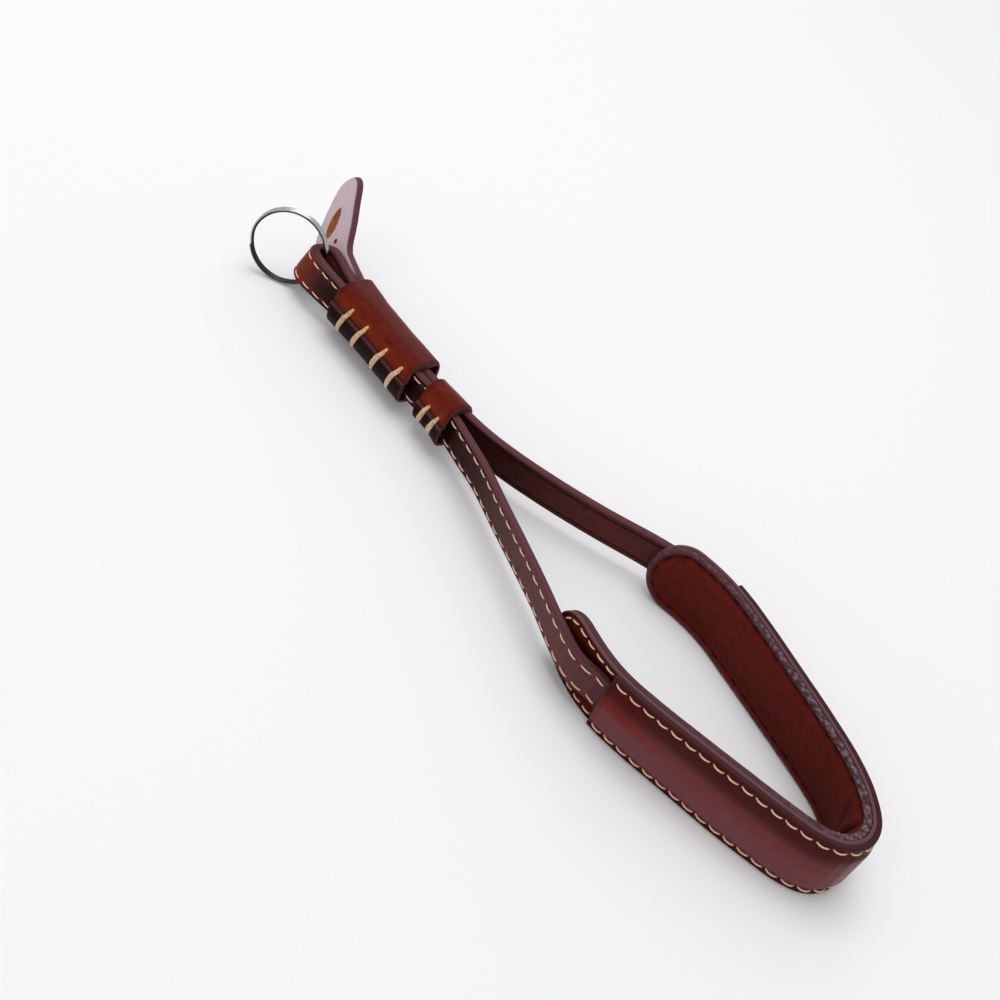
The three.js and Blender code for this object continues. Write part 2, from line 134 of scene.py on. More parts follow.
padRows = columns(("x", "y", "lean"), [
    (41.6, -16.2, 0.12), (50.0, -19.7, 0.10), (60.0, -22.5, 0.08), (69.0, -23.2, 0.08),
    (80.0, -21.8, 0.06), (93.0, -19.1, 0.04), (108.0, -15.9, 0.0), (120.0, -12.9, 0.0),
    (130.0, -9.6, 0.0), (135.5, -5.4, 0.0), (138.0, 1.2, 0.0), (136.6, 8.0, -0.02),
    (131.0, 14.6, -0.05), (122.0, 20.2, -0.05), (107.0, 25.2, 0.0), (92.0, 29.2, 0.04),
    (78.0, 32.8, 0.08), (67.0, 35.3, 0.09), (58.0, 36.0, 0.11), (48.0, 34.8, 0.12),
    (38.2, 31.5, 0.12),
])
strapRows = columns(("x", "y", "lean", "thick"), [  # outside the pad, round the ring and back
    (54.0, 37.6, 0.06, 2.9), (46.0, 36.5, 0.08, 2.9), (37.0, 33.3, 0.05, 2.9), (20.0, 25.0, 0.0, 2.9),
    (5.0, 18.7, 0.0, 2.9), (-10.0, 13.6, 0.0, 2.9), (-22.0, 11.0, 0.0, 2.9), (-37.0, 10.3, 0.0, 3.0),
    (-50.0, 10.5, 0.0, 3.0), (-64.0, 11.4, 0.0, 3.0), (-78.0, 12.6, 0.0, 3.0), (-91.0, 14.4, 0.04, 3.0),
    (-98.0, 15.9, 0.1, 3.0), (-103.5, 17.4, 0.18, 3.0), (-108.0, 17.9, 0.22, 3.0),
    (-111.6, 15.8, -0.2, 3.0), (-111.6, 12.2, -0.3, 3.1), (-107.8, 9.8, -0.3, 3.2),
    (-101.0, 9.2, -0.18, 3.2), (-91.0, 9.3, -0.05, 3.2), (-78.0, 8.8, 0.0, 3.0), (-64.0, 8.0, 0.0, 3.0),
    (-50.0, 7.1, 0.0, 3.0), (-37.0, 6.9, 0.0, 3.0), (-29.0, 5.5, 0.04, 2.9), (-20.0, 3.3, 0.06, 2.9),
    (-10.0, 0.8, 0.1, 2.9), (5.0, -4.7, 0.12, 2.9), (20.0, -10.1, 0.14, 2.9), (33.0, -15.0, 0.16, 2.9),
    (46.0, -20.5, 0.12, 2.9), (56.0, -23.6, 0.1, 2.9),
])
tabRows = columns(("x", "y", "lean", "low", "high"), [
    (-55.0, 14.2, 0.0, 5.8, 16.2), (-64.0, 15.0, 0.0, 5.8, 16.2), (-78.0, 16.1, 0.0, 5.8, 16.2),
    (-91.0, 18.1, 0.05, 5.8, 16.2), (-98.5, 19.8, 0.16, 5.5, 16.5), (-106.0, 21.8, 0.26, 5.5, 17.0),
    (-111.0, 23.3, 0.28, 5.2, 23.3), (-116.8, 25.3, 0.28, 4.6, 29.2), (-119.9, 26.4, 0.28, 5.4, 32.6),
    (-122.3, 27.3, 0.28, 9.2, 33.6), (-125.2, 28.4, 0.28, 15.6, 32.8), (-127.2, 29.1, 0.28, 21.6, 30.6),
])
# The last three numbers set a painted sheen along the keeper's top: its strength, where it lies and how
# wide.
keeper = {"wall": 1.8, "corner": 2.2, "lip": 1.1, "rounding": 0.75, "seamRounding": 0.3,
          "softCorner": 1.1, "crown": 0.6, "wave": 0.14, "waveLength": 7.0, "dimple": 0.35,
          "paintedSheen": 0.5, "paintedSheenAt": 12.0, "paintedSheenWidth": 2.6}
largeKeeper = {
    "rows": columns(("x", "near", "far"), [
        (-90.0, 7.2, 20.3), (-78.0, 6.9, 18.0), (-64.0, 5.9, 16.7), (-49.5, 4.5, 15.8)]),
    "seam": 12.4, "laces": (-82.6, -74.4, -63.6, -55.0), "above": 4.1, "below": 8.9, "slant": 3.1,
}
smallKeeper = {
    "rows": columns(("x", "near", "far"), [
        (-43.0, 5.1, 12.1), (-36.0, 4.9, 12.1), (-29.5, 3.3, 12.2)]),
    "seam": 11.8, "laces": (-39.1, -33.9), "above": 1.9, "below": 7.4, "slant": 1.5,
}

# The tables have a zero of their own. The large keeper's place says how far it is from the frame's.
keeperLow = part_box("keeper_large")[0] / mm
lowestNear = largeKeeper["rows"]["near"].min() - keeper["wall"] - keeper["lip"]
rowShift = np.array([keeperLow.x - largeKeeper["rows"]["x"].min(), keeperLow.y - lowestNear, 0.0])


def addObject(name, data):
    added = bpy.data.objects.new(name, data)
    bpy.context.scene.collection.objects.link(added)
    return added


def makeObject(name, points, faces, material, slot, replaces=()):
    mesh = bpy.data.meshes.new(name)
    metres = (np.asarray(points, float).reshape(-1, 3) + rowShift) * mm
    mesh.from_pydata(metres.tolist(), [], [list(map(int, f)) for f in faces])
    mesh.update()
    mesh.polygons.foreach_set("use_smooth", [True] * len(mesh.polygons))
    mesh.materials.append(materials[material])
    piece = addObject(name, mesh)
    if slot:
        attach(piece, "root")
    if replaces:
        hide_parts(*replaces)
    return piece


def paintPoints(piece, name, values):
    data = piece.data.attributes.new(name, "FLOAT", "POINT").data
    data.foreach_set("value", values.astype(np.float32))


# A painted value for each point: both faces take theirs from a grid, the rim takes one number.
def paint(piece, name, outer, inner=None, rim=0.0):
    inner = outer if inner is None else inner
    values = np.full(len(piece.data.vertices), rim)
    values[:2 * outer.size] = np.concatenate([outer.ravel(), inner.ravel()])
    paintPoints(piece, name, values)


def gridFaces(rows, across, wrapRows, first=0, flip=False):
    last = rows if wrapRows else rows - 1
    a = np.arange(last)[:, None] * across
    b = (np.arange(1, last + 1) % rows)[:, None] * across
    j = np.arange(across - 1)[None, :]
    corners = np.broadcast_arrays(a + j, b + j, b + j + 1, a + j + 1)
    quads = np.stack(corners, -1).reshape(-1, 4) + first
    return quads[:, ::-1] if flip else quads


# A wall of leather: two grids of points, joined round their rim in a few steps.
def shell(outer, inner, wrapRows=False, rimSteps=4, rimRelief=None):
    rows, across = outer.shape[:2]
    flatOuter, flatInner = outer.reshape(-1, 3), inner.reshape(-1, 3)
    points = [flatOuter, flatInner]
    faces = [gridFaces(rows, across, wrapRows), gridFaces(rows, across, wrapRows, rows * across, True)]
    index = np.arange(rows * across).reshape(rows, across)
    if wrapRows:
        rims = [index[:, 0][::-1], index[:, -1]]
    else:
        sides = index[0, :], index[1:, -1], index[-1, -2::-1], index[-2:0:-1, 0]
        rims = [np.concatenate(sides)[::-1]]
    first = 2 * rows * across
    for loop in rims:
        ladder = [loop]
        for step in range(1, rimSteps):
            share = step / rimSteps
            line = flatOuter[loop] * (1 - share) + flatInner[loop] * share
            points.append(line if rimRelief is None else line + rimRelief(loop, share))
            ladder.append(np.arange(len(loop)) + first)
            first += len(loop)
        ladder.append(loop + rows * across)
        for upper, lower in zip(ladder, ladder[1:]):
            faces.append(np.stack([upper, lower, np.roll(lower, -1), np.roll(upper, -1)], -1))
    return np.concatenate(points), np.concatenate(faces)


def edgeDrop(distance, rounding):  # how far a face falls away towards its edge
    t = np.clip(1 - distance / rounding, 0, 1)
    return rounding * (1 - np.sqrt(1 - t ** 2))


def spread(count, amount=1.0):  # from -1 to 1, closer together at both ends
    even = np.linspace(-1, 1, count)
    return np.sin(even * math.pi / 2) * amount + even * (1 - amount)


# Closed tubes of an oval section, each along its own centre line, joined in one mesh.
def tubes(name, paths, material, slot, replaces=()):
    points, faces, first = [], [], 0
    for centre, normal, wide, tall in paths:
        steps, sides = wide.shape
        forward = unit(np.gradient(centre, axis=0))
        side = unit(np.cross(forward, normal))
        up = np.cross(side, forward)
        around = circle(sides)
        sideways = side[:, None] * (wide * np.cos(around))[..., None]
        upwards = up[:, None] * (tall * np.sin(around))[..., None]
        points.append((centre[:, None] + (sideways + upwards)).reshape(-1, 3))
        i, j = np.meshgrid(np.arange(steps - 1) * sides, np.arange(sides), indexing="ij")
        k = (j + 1) % sides
        quads = np.stack([i + j, i + k, i + sides + k, i + sides + j], -1).reshape(-1, 4)
        faces += (quads[:, ::-1] + first).tolist()
        faces.append(list(first + np.arange(sides)))
        faces.append(list(first + (steps - 1) * sides + np.arange(sides)[::-1]))
        first += steps * sides
    return makeObject(name, np.concatenate(points), faces, material, slot, replaces)


print("materials")


class Nodes:
    def __init__(self, name):
        self.material = bpy.data.materials.new(name)
        self.material.use_nodes = True
        self.tree = self.material.node_tree
        self.tree.nodes.clear()
        self.shader = self.add("ShaderNodeBsdfPrincipled")
        output = self.add("ShaderNodeOutputMaterial")
        self.link(self.shader.outputs[0], output.inputs["Surface"])
        self.place = self.add("ShaderNodeTexCoord").outputs["Object"]

    def link(self, output, socket):
        self.tree.links.new(output, socket)

    def feed(self, socket, value):  # with a colour, a number or another node's output
        if isinstance(value, tuple):
            socket.default_value = (*value, 1)
        elif isinstance(value, (int, float)):
            socket.default_value = value
        else:
            self.link(value, socket)

    def add(self, kind, inputs=(), **settings):
        node = self.tree.nodes.new(kind)
        for key, value in settings.items():
            setattr(node, key, value)
        for key, value in dict(inputs).items():
            self.feed(node.inputs[key], value)
        return node

    def surface(self, inputs):
        for key, value in inputs.items():
            self.feed(self.shader.inputs[key], value)

    def scaled(self, size, stretch, seed):  # a place in units of size, in millimetres
        mapping = self.add("ShaderNodeMapping")
        mapping.inputs["Scale"].default_value = tuple(k / (size * mm) for k in stretch)
        mapping.inputs["Location"].default_value = (seed, seed * 1.7, seed * 0.6)
        self.link(self.place, mapping.inputs["Vector"])
        return mapping.outputs[0]

    def noise(self, size, detail=3.0, stretch=(1, 1, 1), seed=0.0):
        inputs = {"Scale": 1.0, "Detail": detail, "Roughness": 0.55,
                  "Vector": self.scaled(size, stretch, seed)}
        return self.add("ShaderNodeTexNoise", inputs).outputs["Fac"]

    def cells(self, size, seed=0.0):
        inputs = {"Scale": 1.0, "Vector": self.scaled(size, (1, 1, 1), seed)}
        return self.add("ShaderNodeTexVoronoi", inputs).outputs["Distance"]

    def attribute(self, name):
        return self.add("ShaderNodeAttribute", attribute_name=name).outputs["Fac"]

    def ramp(self, value, low, high, to=(0.0, 1.0)):
        inputs = {"Value": value, "From Min": low, "From Max": high, "To Min": to[0], "To Max": to[1]}
        return self.add("ShaderNodeMapRange", inputs, interpolation_type="SMOOTHSTEP").outputs["Result"]

    def product(self, a, b):
        return self.add("ShaderNodeMath", {0: a, 1: b}, operation="MULTIPLY").outputs[0]

    def mix(self, factor, a, b):
        return self.add("ShaderNodeMix", {0: factor, 6: a, 7: b}, data_type="RGBA").outputs[2]

    def bump(self, height, depth):  # depth in millimetres
        node = self.add("ShaderNodeBump", {"Distance": depth * mm, "Height": height})
        socket = self.shader.inputs["Normal"]
        if socket.links:
            self.link(socket.links[0].from_socket, node.inputs["Normal"])
        self.link(node.outputs[0], socket)


# Each look's deep colour serves dark spots and pores, and also the painted shade.
leatherLooks = {
    "strapLeather": {
        "base": (0.118, 0.050, 0.056), "deep": (0.009, 0.002, 0.001), "warm": (0.20, 0.024, 0.004),
        "paint": (0.110, 0.042, 0.048), "roughness": (0.26, 0.38), "coat": 0.02,
        "grain": 0.32, "grainDepth": 0.025, "mottle": 0.35},
    "keeperLeather": {
        "base": (0.108, 0.012, 0.008), "deep": (0.009, 0.002, 0.001), "warm": (0.21, 0.024, 0.003),
        "paint": (0.088, 0.028, 0.029), "roughness": (0.16, 0.28), "coat": 0.025,
        "grain": 0.40, "grainDepth": 0.02},
    "coverLeather": {
        "base": (0.150, 0.050, 0.056), "deep": (0.044, 0.004, 0.002), "warm": (0.16, 0.013, 0.004),
        "paint": (0.050, 0.016, 0.017), "roughness": (0.20, 0.32), "coat": 0.06,
        "grain": 0.35, "grainDepth": 0.02, "mottle": 0.14, "clouds": 0.1},
    "baseLeather": {
        "base": (0.070, 0.010, 0.006), "deep": (0.016, 0.003, 0.002), "warm": (0.12, 0.014, 0.005),
        "paint": (0.125, 0.056, 0.062), "roughness": (0.30, 0.42), "coat": 0.02,
        "grain": 0.35, "grainDepth": 0.025},
    "linerLeather": {
        "base": (0.098, 0.014, 0.010), "deep": (0.028, 0.005, 0.004), "warm": (0.17, 0.015, 0.009),
        "paint": (0.080, 0.036, 0.041), "roughness": (0.46, 0.60), "coat": 0.0,
        "grain": 0.45, "grainDepth": 0.04, "pebbled": True},
    "tabLeather": {
        "base": (0.100, 0.028, 0.028), "deep": (0.030, 0.008, 0.006), "warm": (0.62, 0.49, 0.53),
        "paint": (0.120, 0.046, 0.053), "roughness": (0.28, 0.38), "coat": 0.05,
        "grain": 0.32, "grainDepth": 0.015, "mottle": 0.06},
}
# Shared by the leathers unless their own look says otherwise. The patterns' sizes are millimetres.
hide = {"cloudSize": 17.0, "mottleSize": 2.6, "glossSize": 5.0, "creaseSize": 3.2, "fineSize": 0.7,
        "creaseDepth": 1.6, "fineDepth": 0.8, "mottle": 0.4, "clouds": 0.22, "coatRoughness": 0.13,
        "specular": 0.03, "tint": (1.0, 0.5, 0.45), "pebbled": False}
# The lining's rim puckers into pebbles, which fade towards the near side and the half-round ends.
# The crests are painted lighter as a highlight and the dips darker as shade.
pebbles = {"size": 1.5, "depth": 0.6, "crestHighlight": (0.19, 0.135, 0.155), "dipShade": 0.7,
           "nearSide": (-0.022, -0.006, 0.12), "ends": (0.040, 0.100, 0.25)}


def pebbledRim(n, paint):
    across = n.add("ShaderNodeSeparateXYZ", {0: n.place})
    amount = n.attribute("edge")
    for axis, (low, high, least) in (("Y", pebbles["nearSide"]), ("X", pebbles["ends"])):
        amount = n.product(n.ramp(across.outputs[axis], low, high, (least, 1.0)), amount)
    domes = n.ramp(n.cells(pebbles["size"], seed=7.0), 0.1, 0.8, (1.0, 0.0))
    n.bump(n.product(domes, amount), pebbles["depth"])
    # Painted highlight on the crests and painted shade in the dips.
    dipShades = tuple(pebbles["dipShade"] * c for c in paint)
    return n.mix(amount, paint, n.mix(domes, dipShades, pebbles["crestHighlight"]))


def leather(name, look):
    look = {**hide, **look}
    n = Nodes(name)
    pores = n.cells(look["grain"], seed=2.0)
    clouds = n.ramp(n.noise(look["cloudSize"], seed=1.0), 0.3, 0.75, (0.0, look["clouds"]))
    colour = n.mix(clouds, look["base"], look["warm"])
    colour = n.mix(n.attribute("warm"), colour, look["warm"])
    spots = n.noise(look["mottleSize"], detail=5.0, seed=4.0)
    mottle = n.ramp(spots, 0.45, 0.8, (0.0, look["mottle"]))
    specks = n.ramp(pores, 0.6, 0.95, (0.0, 0.8 * look["mottle"]))
    # Dark spots, pores and the painted shade all mix towards the deep colour.
    for share in (mottle, specks, n.attribute("paintedShade")):
        colour = n.mix(share, colour, look["deep"])
    rim = pebbledRim(n, look["paint"]) if look["pebbled"] else look["paint"]
    gloss = n.noise(look["glossSize"], detail=4.0, seed=9.0)
    n.surface({
        "Base Color": n.mix(n.attribute("edge"), colour, rim),
        "Roughness": n.ramp(gloss, 0.3, 0.7, look["roughness"]),
        "Coat Weight": look["coat"], "Coat Roughness": look["coatRoughness"],
        "Specular IOR Level": look["specular"], "Specular Tint": look["tint"]})
    depth = look["grainDepth"]
    n.bump(pores, depth)
    n.bump(n.noise(look["creaseSize"], detail=4.0, seed=6.0), depth * look["creaseDepth"])
    n.bump(n.noise(look["fineSize"], detail=2.0, seed=3.0), depth * look["fineDepth"])
    return n.material


threadLooks = {
    "creamThread": {
        "pale": (0.90, 0.62, 0.43), "dark": (0.66, 0.38, 0.23), "fibre": 0.12, "sheen": 0.2},
    "brownThread": {
        "pale": (0.016, 0.004, 0.003), "dark": (0.005, 0.002, 0.001), "fibre": 0.12, "sheen": 0.0},
    "laceCord": {
        "pale": (0.82, 0.60, 0.37), "dark": (0.40, 0.23, 0.11), "fibre": 0.4, "sheen": 0.2},
}


def thread(name, look):
    n = Nodes(name)
    strands = n.noise(look["fibre"], seed=1.0)
    colour = n.mix(n.ramp(strands, 0.35, 0.7), look["dark"], look["pale"])
    colour = n.mix(n.ramp(n.noise(4.0, seed=5.0), 0.4, 0.75, (0.0, 0.35)), colour, look["dark"])
    n.surface({"Base Color": colour, "Roughness": 0.7, "Specular IOR Level": 0.2,
               "Sheen Weight": look["sheen"]})
    n.bump(strands, 0.05)
    return n.material


def rawCut(name, dark=(0.20, 0.045, 0.008), pale=(0.60, 0.20, 0.04)):
    n = Nodes(name)
    fibres = n.noise(0.5, detail=5.0, stretch=(1, 1, 2.2), seed=2.0)
    n.surface({"Base Color": n.mix(n.ramp(fibres, 0.3, 0.7), dark, pale), "Roughness": 0.75})
    n.bump(fibres, 0.12)
    return n.material


def ringSteel(name, dull=(0.50, 0.50, 0.51), bright=(0.66, 0.66, 0.67), dark=(0.018, 0.017, 0.017)):
    n = Nodes(name)
    wear = n.noise(0.6, seed=1.0)
    colour = n.mix(n.ramp(wear, 0.35, 0.7), dull, bright)
    n.surface({
        "Base Color": n.mix(n.attribute("shade"), colour, dark), "Metallic": 1.0,
        "Roughness": n.ramp(wear, 0.3, 0.75, (0.04, 0.12))})
    n.bump(n.noise(1.4, detail=2.0, seed=3.0), 0.004)
    return n.material


def floorPaper(name, pale=(0.86, 0.86, 0.86)):
    n = Nodes(name)
    n.surface({"Base Color": pale, "Roughness": 0.9, "Specular IOR Level": 0.1})
    return n.material


materials = {name: leather(name, look) for name, look in leatherLooks.items()}
materials.update({name: thread(name, look) for name, look in threadLooks.items()})
for name, make in (("rawCut", rawCut), ("ringSteel", ringSteel), ("floorPaper", floorPaper)):
    materials[name] = make(name)


# Each stitch runs over a surface from one hole to the next, sinks in at both ends and bows a little.
def stitches(name, surface, outSign, runs, look, material, slot):
    steps, sides = 11, 8
    t = np.linspace(0, 1, steps)
    hump = np.sin(math.pi * t)
    around = circle(sides)
    twisted = around[None, :] - 2 * math.pi * look["twist"] * t[:, None]
    lobes = 1 + look["lobe"] * np.cos(2 * twisted)
    section = look["radius"] * lobes * (0.72 + 0.28 * hump ** 0.4)[:, None]
    bow = look["bow"] * np.sin(math.pi * t ** look["late"])
    paths = []
    for s0, z0, s1, z1 in runs:
        jitter = randomDraws.uniform(-1, 1, 4) * look["jitter"]
        s = s0 + jitter[0] + (s1 - s0 + jitter[1]) * t
        z = z0 + jitter[2] + (z1 - z0 + jitter[3]) * t + bow
        here = surface(s, z)
        normal = unit(np.cross(surface(s + 0.05, z) - here, surface(s, z + 0.05) - here)) * outSign
        rise = look["lift"] * hump ** 0.5 - look["bury"] * (1 - hump ** 0.35)
        paths.append((here + normal * rise[:, None], normal, section, section * look["flat"]))
    return tubes(name, paths, material, slot)


# A row of stitches beside both edges of a piece, each of them leaning from high to low.
def edgeRuns(piece, seam, share, high=0.0, low=0.0):
    start, end = seam
    count = max(1, round((end - start) / piece["stitchPitch"]))
    step = (end - start) / count
    runs = []
    for side in (1, -1):
        z = midHeight + side * (piece["half"] - piece["stitchInset"])
        for place in start + step * (np.arange(count) + 0.5):
            runs.append((place - step * share / 2, z + high, place + step * share / 2, z - low))
    return runs


def holesAlong(s, start, end, pitch):  # 1 at each hole between two stitches, 0 between holes
    step = (end - start) / max(1, round((end - start) / pitch))
    fromHole = abs(np.mod(s - start + step / 2, step) - step / 2)
    return bell(fromHole, 0.75) * ((s > start - 1) & (s < end + 1))


print("padded wrist section")
pad = {
    "half": 11.0, "baseThickness": 1.0, "coverThickness": 1.35, "linerEdge": 1.85, "puff": 2.0,
    "strapThickness": 2.5, "sink": 1.9, "sinkFrom": 8.0, "sinkTo": 24.0, "leadIn": 4.0, "glue": 0.11,
    "coverFrom": 27.0, "coverShort": 25.0, "ridgeTop": 6.0, "ridgeFoot": 8.6,
    "stitchInset": 1.9, "stitchPitch": 4.45, "linerInset": 2.1, "linerPitch": 5.2, "endPitch": 4.3,
    "coverRounding": 0.42, "baseRounding": 0.25, "linerRounding": 0.7, "settle": 0.08,
    "creaseDepth": 0.05, "bendWidth": 26.0, "linerChannel": 0.5, "puckerRelief": 0.26,
}
padRoute = Route(padRows)
coverSeam = pad["coverFrom"] + 1.0, padRoute.length - pad["coverShort"] - 1.0


def fromPadEnd(s):
    return np.minimum(s, padRoute.length - s)


def padHalf(s):
    short = np.maximum(pad["half"] - fromPadEnd(s), 0)
    return np.sqrt(np.maximum(pad["half"] ** 2 - short ** 2, 0.0))


def padEdge(s, z):  # distance from the pad's outline, whose ends are half rounds
    straight = pad["half"] - abs(z - midHeight)
    toCentre = np.hypot(np.maximum(pad["half"] - fromPadEnd(s), 0), z - midHeight)
    return np.where(fromPadEnd(s) < pad["half"], pad["half"] - toCentre, straight)


def padStations(step):
    half, length = pad["half"], padRoute.length
    ends = half * (1 - np.cos(np.linspace(0.02, math.pi / 2, 26)))
    middle = np.linspace(half, length - half, round((length - 2 * half) / step))[1:-1]
    return np.concatenate([ends, middle, (length - ends)[::-1]])


def sinkAt(s):
    return pad["sink"] * smooth(pad["sinkFrom"], pad["sinkTo"], fromPadEnd(s))


def overStrap(z):
    return 1 - smooth(pad["ridgeTop"], pad["ridgeFoot"], abs(z - midHeight))


def baseOuter(s, z):
    edge = padEdge(s, z)
    dent = 0.18 * bell(edge - pad["stitchInset"], 0.45)
    return -sinkAt(s) * overStrap(z) + pad["glue"] - dent - edgeDrop(edge, pad["baseRounding"])


def baseInner(s, z):
    under = pad["baseThickness"] + pad["glue"]
    return -sinkAt(s) * overStrap(z) - under + edgeDrop(padEdge(s, z), 0.15)


def coverEdge(s, z):
    ends = np.minimum(s - pad["coverFrom"], padRoute.length - pad["coverShort"] - s)
    return np.minimum(pad["half"] - abs(z - midHeight), np.maximum(ends, 0))


def coverUnder(s, z):
    crown = pad["strapThickness"] + layerGap - pad["sink"]
    return layerGap - pad["settle"] + (crown + pad["settle"]) * overStrap(z) + 0 * s


def bendShare(s):  # how near the middle of the bend, from 0 to 1
    return bell(s - 0.5 * padRoute.length, pad["bendWidth"])


def coverOuter(s, z):
    side = pad["half"] - abs(z - midHeight)
    holes = holesAlong(s, *coverSeam, pad["stitchPitch"])
    channel = (0.1 + 0.1 * holes) * bell(side - pad["stitchInset"], 0.6)
    swell = 0.14 * bell(side - 0.85, 0.5)
    ripples = np.sin(s / 0.62 + 2.0 * np.sin(s / 3.1))
    creases = pad["creaseDepth"] * bendShare(s) * ripples * smooth(1.5, 5.0, side)
    bed = coverUnder(s, z) + pad["settle"] * (1 - overStrap(z))
    outer = bed + pad["coverThickness"] - channel + swell + creases
    return outer - edgeDrop(coverEdge(s, z), pad["coverRounding"])


def linerBack(s, z):
    edge = padEdge(s, z)
    return -sinkAt(s) * overStrap(z) - pad["baseThickness"] - layerGap + 0.06 - edgeDrop(edge, 0.3)


def linerFront(s, z, puff=1.0):
    edge = padEdge(s, z)
    half = np.maximum(padHalf(s), 0.3)
    share = abs(z - midHeight) / half
    crown = puff * pad["puff"] * (1 - smooth(0.1, 0.85, share)) * np.minimum(1, half / pad["half"])
    channel = pad["linerChannel"] * bell(edge - pad["linerInset"], 0.6)
    roll = 0.25 * bell(edge - 1.0, 0.6)
    depth = pad["baseThickness"] + layerGap + pad["linerEdge"] + crown - channel + roll
    return edgeDrop(edge, pad["linerRounding"]) - depth


# Creases that the bend pinches into the lining. Each runs from s0, z0 to s1, z1, with s counted from
# the middle of the bend.
bendFolds = columns(("s0", "z0", "s1", "z1", "depth", "width"), [
    (3.2, 20.3, 6.4, 5.0, 1.6, 1.25), (0.0, 19.8, -7.0, 15.0, 0.8, 0.9),
    (14.0, 19.0, 8.0, 9.0, 0.7, 1.2), (-5.0, 2.6, 1.5, 8.0, 0.8, 1.0),
    (4.5, 2.8, 9.0, 8.0, 0.6, 0.9),
])


def foldDepth(s, z):
    depth = 0 * s
    fromMiddle = s - 0.5 * padRoute.length
    for s0, z0, s1, z1, deep, width in zip(*bendFolds.values()):
        ds, dz, size = s1 - s0, z1 - z0, math.hypot(s1 - s0, z1 - z0)
        t = ((fromMiddle - s0) * ds + (z - z0) * dz) / size ** 2
        aside = ((fromMiddle - s0) * dz - (z - z0) * ds) / size
        groove = bell(aside, width) - 0.45 * bell(aside, 2.2 * width)  # with a swell on both sides
        depth += deep * np.sin(math.pi * np.clip(t, 0, 1)) * groove
    return depth


def onPad(face):
    return lambda s, z: padRoute.point(s, face(s, z), z)


def padGrid(stations, shares, face, narrower=0.0):
    s = np.broadcast_to(stations[:, None], (len(stations), len(shares)))
    z = midHeight + shares[None, :] * np.maximum(padHalf(s) - narrower, 0.05)
    return onPad(face)(s, z), s, z


# A cloth simulation blows up the lining's front, which is sewn down along its rim. Round the inside
# of the bend the leather is longer than its bed, so it gathers. Gives each point's move in millimetres.
cushion = {"rows": 300, "across": 25, "scale": 20.0, "frames": 18, "startPuff": 0.55, "cap": 1.3}
clothSettings = {
    "quality": 6, "mass": 0.3, "tension_stiffness": 14, "compression_stiffness": 14,
    "shear_stiffness": 6, "bending_stiffness": 0.35, "vertex_group_mass": "sewn",
    "vertex_group_shrink": "gathered", "shrink_min": 0.0, "shrink_max": -0.2, "use_pressure": True,
    "uniform_pressure_force": 3.0,
}


def simulateLining():
    rows = np.linspace(0.5, padRoute.length - 0.5, cushion["rows"])
    shares = np.linspace(-1, 1, cushion["across"])
    start, s, z = padGrid(rows, shares, lambda s, z: linerFront(s, z, cushion["startPuff"]))
    full = padGrid(rows, shares, linerFront)[0]
    faces = gridFaces(len(rows), len(shares), False, 0, True)
    piece = makeObject("liningCloth", start, faces, "linerLeather", None)
    scaled = (start.reshape(-1, 3) + rowShift) * mm * cushion["scale"]
    piece.data.vertices.foreach_set("co", scaled.ravel())
    sewn = piece.vertex_groups.new(name="sewn")
    for i in np.nonzero(padEdge(s, z).ravel() < pad["linerInset"] + 0.45)[0]:
        sewn.add([int(i)], 1.0, "REPLACE")
    gathered = piece.vertex_groups.new(name="gathered")
    for i, weight in enumerate(bendShare(s).ravel()):
        gathered.add([i], float(weight), "REPLACE")
    cloth = piece.modifiers.new("cloth", "CLOTH")
    for key, value in clothSettings.items():
        setattr(cloth.settings, key, value)
    cloth.settings.effector_weights.gravity = 0.0
    cloth.point_cache.frame_start, cloth.point_cache.frame_end = 1, cushion["frames"]
    for step in range(1, cushion["frames"] + 1):
        bpy.context.scene.frame_set(step)
    settled = piece.evaluated_get(bpy.context.evaluated_depsgraph_get())
    moved = np.zeros(len(scaled) * 3)
    settled.data.vertices.foreach_get("co", moved)
    moved = moved.reshape(start.shape) / (mm * cushion["scale"]) - rowShift - full
    bpy.data.objects.remove(piece)
    bpy.context.scene.frame_set(1)
    size = np.linalg.norm(moved, axis=-1, keepdims=True)
    print("lining settled, moved by up to", round(float(size.max()), 2), "mm")
    moved *= np.minimum(1, cushion["cap"] / np.maximum(size, 1e-6))
    inside = smooth(pad["linerInset"] + 0.3, pad["linerInset"] + 1.6, padEdge(s, z))
    return rows, shares, moved * inside[..., None]


def blendGrid(rows, shares, values, s, share):  # reads a grid of values at any place on it
    i = np.interp(s, rows, np.arange(len(rows)))
    j = np.interp(share, shares, np.arange(len(shares)))
    i0, j0 = np.minimum(i.astype(int), len(rows) - 2), np.minimum(j.astype(int), len(shares) - 2)
    fi, fj = (i - i0)[..., None], (j - j0)[..., None]
    low = values[i0, j0] * (1 - fj) + values[i0, j0 + 1] * fj
    return low * (1 - fi) + (values[i0 + 1, j0] * (1 - fj) + values[i0 + 1, j0 + 1] * fj) * fi


def makeBase():
    stations, across = padStations(0.8), spread(57)
    outer, s, z = padGrid(stations, across, baseOuter)
    inner = padGrid(stations, across, baseInner)[0]
    piece = makeObject("base_sheet", *shell(outer, inner), "baseLeather", "base_leather", ["pad_base"])
    edge = padEdge(s, z)
    paint(piece, "edge", smooth(0.5, 0.1, edge), rim=1.0)
    # Painted shade along the stitch line and further in from the edge.
    bySeam = 0.4 * bell(edge - pad["stitchInset"], 0.8)
    paint(piece, "paintedShade", 0.25 + bySeam + 0.35 * smooth(3.0, 6.0, edge))
    paint(piece, "warm", 0.5 * bell(edge - 3.4, 1.2))


